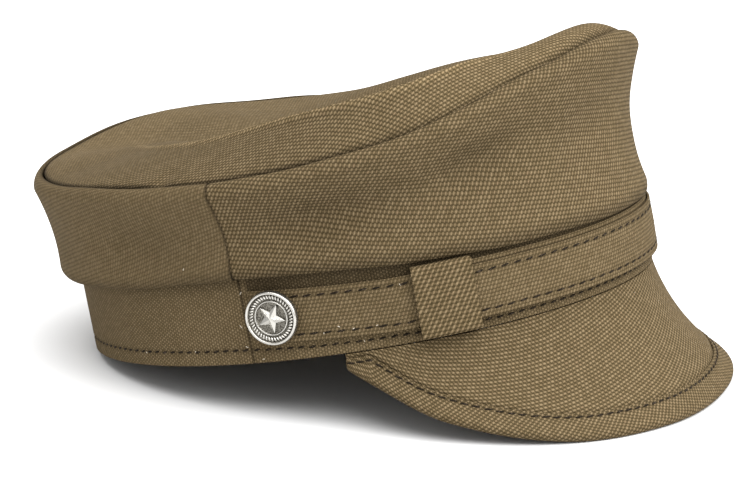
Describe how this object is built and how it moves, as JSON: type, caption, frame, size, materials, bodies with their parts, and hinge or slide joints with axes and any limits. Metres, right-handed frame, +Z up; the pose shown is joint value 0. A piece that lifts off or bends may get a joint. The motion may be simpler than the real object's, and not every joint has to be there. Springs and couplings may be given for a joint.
{
  "type": "peaked cap",
  "caption": "Soft canvas peaked cap with a puffed crown, upright band, stitched chin straps in keepers, two metal buttons and a bound, sloping peak.",
  "frame": {"origin": "on the table under the middle of the cap's outline seen from above", "axes": "+Z up from the table, -Y towards the peak's tip, -X towards the wearer's right side"},
  "size_m": [0.1908, 0.257, 0.1283],
  "materials": {
    "canvas": "heavy plain weave cotton, matt",
    "peak_canvas": "heavy plain weave cotton over a stiff board, matt",
    "button_metal": "cast metal with dark recesses"
  },
  "bodies": {
    "root": {"crown_top": "canvas", "crown_side_front": "canvas", "crown_side_back": "canvas", "band_front": "canvas", "band_back": "canvas", "peak": "peak_canvas", "peak_binding": "peak_canvas", "strap_right": "canvas", "strap_left": "canvas", "keeper_right": "canvas", "keeper_left": "canvas", "button_right": "button_metal", "button_left": "button_metal"}
  },
  "joints": []
}
